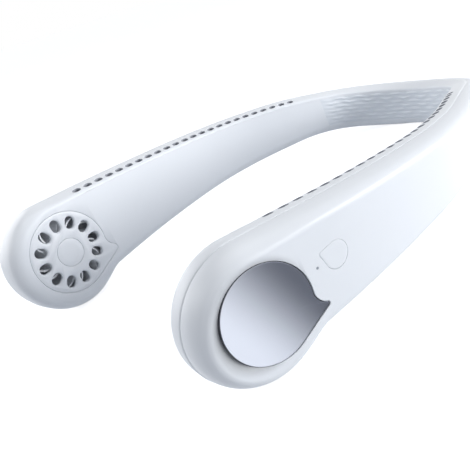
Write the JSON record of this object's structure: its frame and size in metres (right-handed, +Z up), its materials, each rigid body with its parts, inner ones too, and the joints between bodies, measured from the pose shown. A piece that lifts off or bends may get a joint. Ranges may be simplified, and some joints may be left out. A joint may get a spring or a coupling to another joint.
{
  "type": "neck fan",
  "caption": "Bladeless neck fan: a hollow horseshoe band with a round fan head at each front end, outlets along the inner top edges and a wavy neck pad.",
  "frame": {"origin": "centre of the bounding box in plan, at the level the object rests on", "axes": "+Z up, X across the neck with the near arm of the picture on +X, heads at the front on -Y, nape at the back on +Y"},
  "size_m": [0.1856, 0.282, 0.055],
  "materials": {
    "casing": "smooth white",
    "outlet_strip": "smooth white",
    "disc": "satin",
    "grille": "smooth white",
    "pad": "matt, wavy relief",
    "button": "smooth white",
    "impeller": "matt grey",
    "motor_steel": "plain",
    "magnet": "dull",
    "shaft_steel": "ground",
    "copper": "enamelled wire",
    "inner_plastic": "matt",
    "screw_steel": "plated",
    "switch": "matt",
    "board": "solder mask",
    "light": "diffuse",
    "cell_foil": "foil pouch",
    "socket_steel": "plated",
    "lead": "insulated wire"
  },
  "bodies": {
    "band": {"right_outer_shell": "casing", "left_outer_shell": "casing", "right_inner_shell": "casing", "left_inner_shell": "casing", "right_outlet_strip": "outlet_strip", "left_outlet_strip": "outlet_strip", "right_head_disc": "disc", "left_head_disc": "disc", "right_intake_grille": "grille", "left_intake_grille": "grille", "right_hub_cap": "grille", "left_hub_cap": "grille", "neck_pad": "pad", "right_stator": "motor_steel", "left_stator": "motor_steel", "right_stator_coils": "copper", "left_stator_coils": "copper", "right_motor_base": "inner_plastic", "left_motor_base": "inner_plastic", "right_bearings": "shaft_steel", "left_bearings": "shaft_steel", "motor_screws": "screw_steel", "case_screws": "screw_steel", "button_switch": "switch", "button_board": "board", "indicator_led": "light", "indicator_lens": "light", "battery_cell_right": "cell_foil", "battery_cell_middle": "cell_foil", "battery_cell_left": "cell_foil", "main_board": "board", "usb_socket": "socket_steel", "right_duct_end": "inner_plastic", "left_duct_end": "inner_plastic", "right_motor_lead": "lead", "left_motor_lead": "lead"},
    "right_rotor": {"right_impeller": "impeller", "right_rotor_can": "motor_steel", "right_magnet_ring": "magnet", "right_motor_shaft": "shaft_steel"},
    "left_rotor": {"left_impeller": "impeller", "left_rotor_can": "motor_steel", "left_magnet_ring": "magnet", "left_motor_shaft": "shaft_steel"},
    "button": {"power_button": "button", "switch_plunger": "switch"}
  },
  "joints": [
    {"name": "right_rotor_spin", "type": "hinge", "parent": "band", "child": "right_rotor", "pos_m": [0.07252, -0.11308, 0.0287], "axis": [0.9877, -0.1564, 0], "continuous": true},
    {"name": "left_rotor_spin", "type": "hinge", "parent": "band", "child": "left_rotor", "pos_m": [-0.07252, -0.11308, 0.0287], "axis": [-0.9877, -0.1564, 0], "continuous": true},
    {"name": "button_press", "type": "slide", "parent": "band", "child": "button", "axis": [-0.9884, 0.1521, 0], "range_m": [0, 0.0005], "stiffness_N_per_m": 3000, "springref_m": -0.0003}
  ]
}
